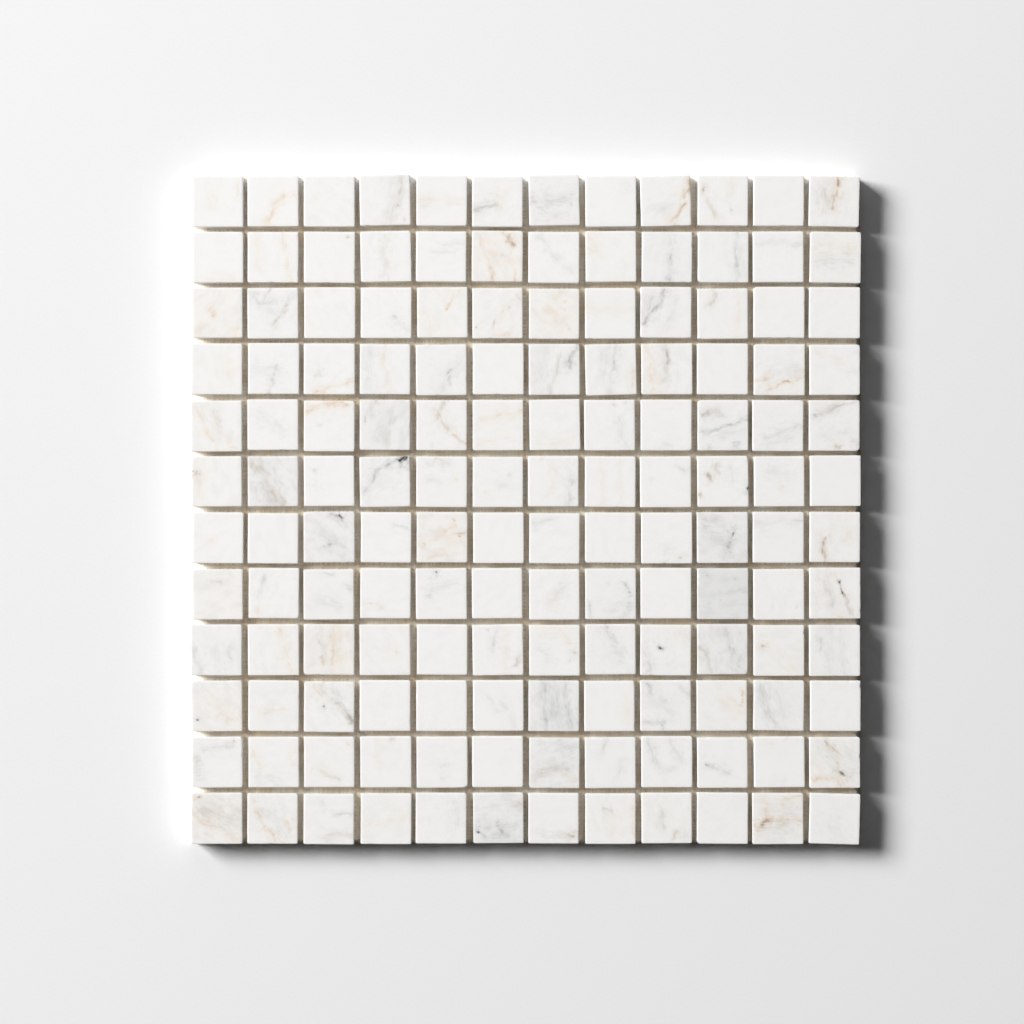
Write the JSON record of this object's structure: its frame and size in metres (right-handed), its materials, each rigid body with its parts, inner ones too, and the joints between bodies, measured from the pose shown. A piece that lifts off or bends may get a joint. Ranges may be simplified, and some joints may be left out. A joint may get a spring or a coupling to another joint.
{
  "type": "mosaic tile sheet",
  "caption": "Square sheet of small square white marble mosaic tiles, spaced for grout and glued to a thin glass-fibre net backing.",
  "frame": {"origin": "middle of the sheet, at the net's underside, which lies on the floor", "axes": "+Z out of the tiles' faces, +X to the right along a row of tiles, +Y up the sheet towards row 1"},
  "size_m": [0.3048, 0.3048, 0.01],
  "materials": {
    "marble": "honed white marble with faint grey and tan veins",
    "net_and_glue": "glass-fibre net set in khaki glue"
  },
  "bodies": {
    "root": {"mesh_backing": "net_and_glue", "tile_row_01": "marble", "tile_row_02": "marble", "tile_row_03": "marble", "tile_row_04": "marble", "tile_row_05": "marble", "tile_row_06": "marble", "tile_row_07": "marble", "tile_row_08": "marble", "tile_row_09": "marble", "tile_row_10": "marble", "tile_row_11": "marble", "tile_row_12": "marble"}
  },
  "joints": []
}
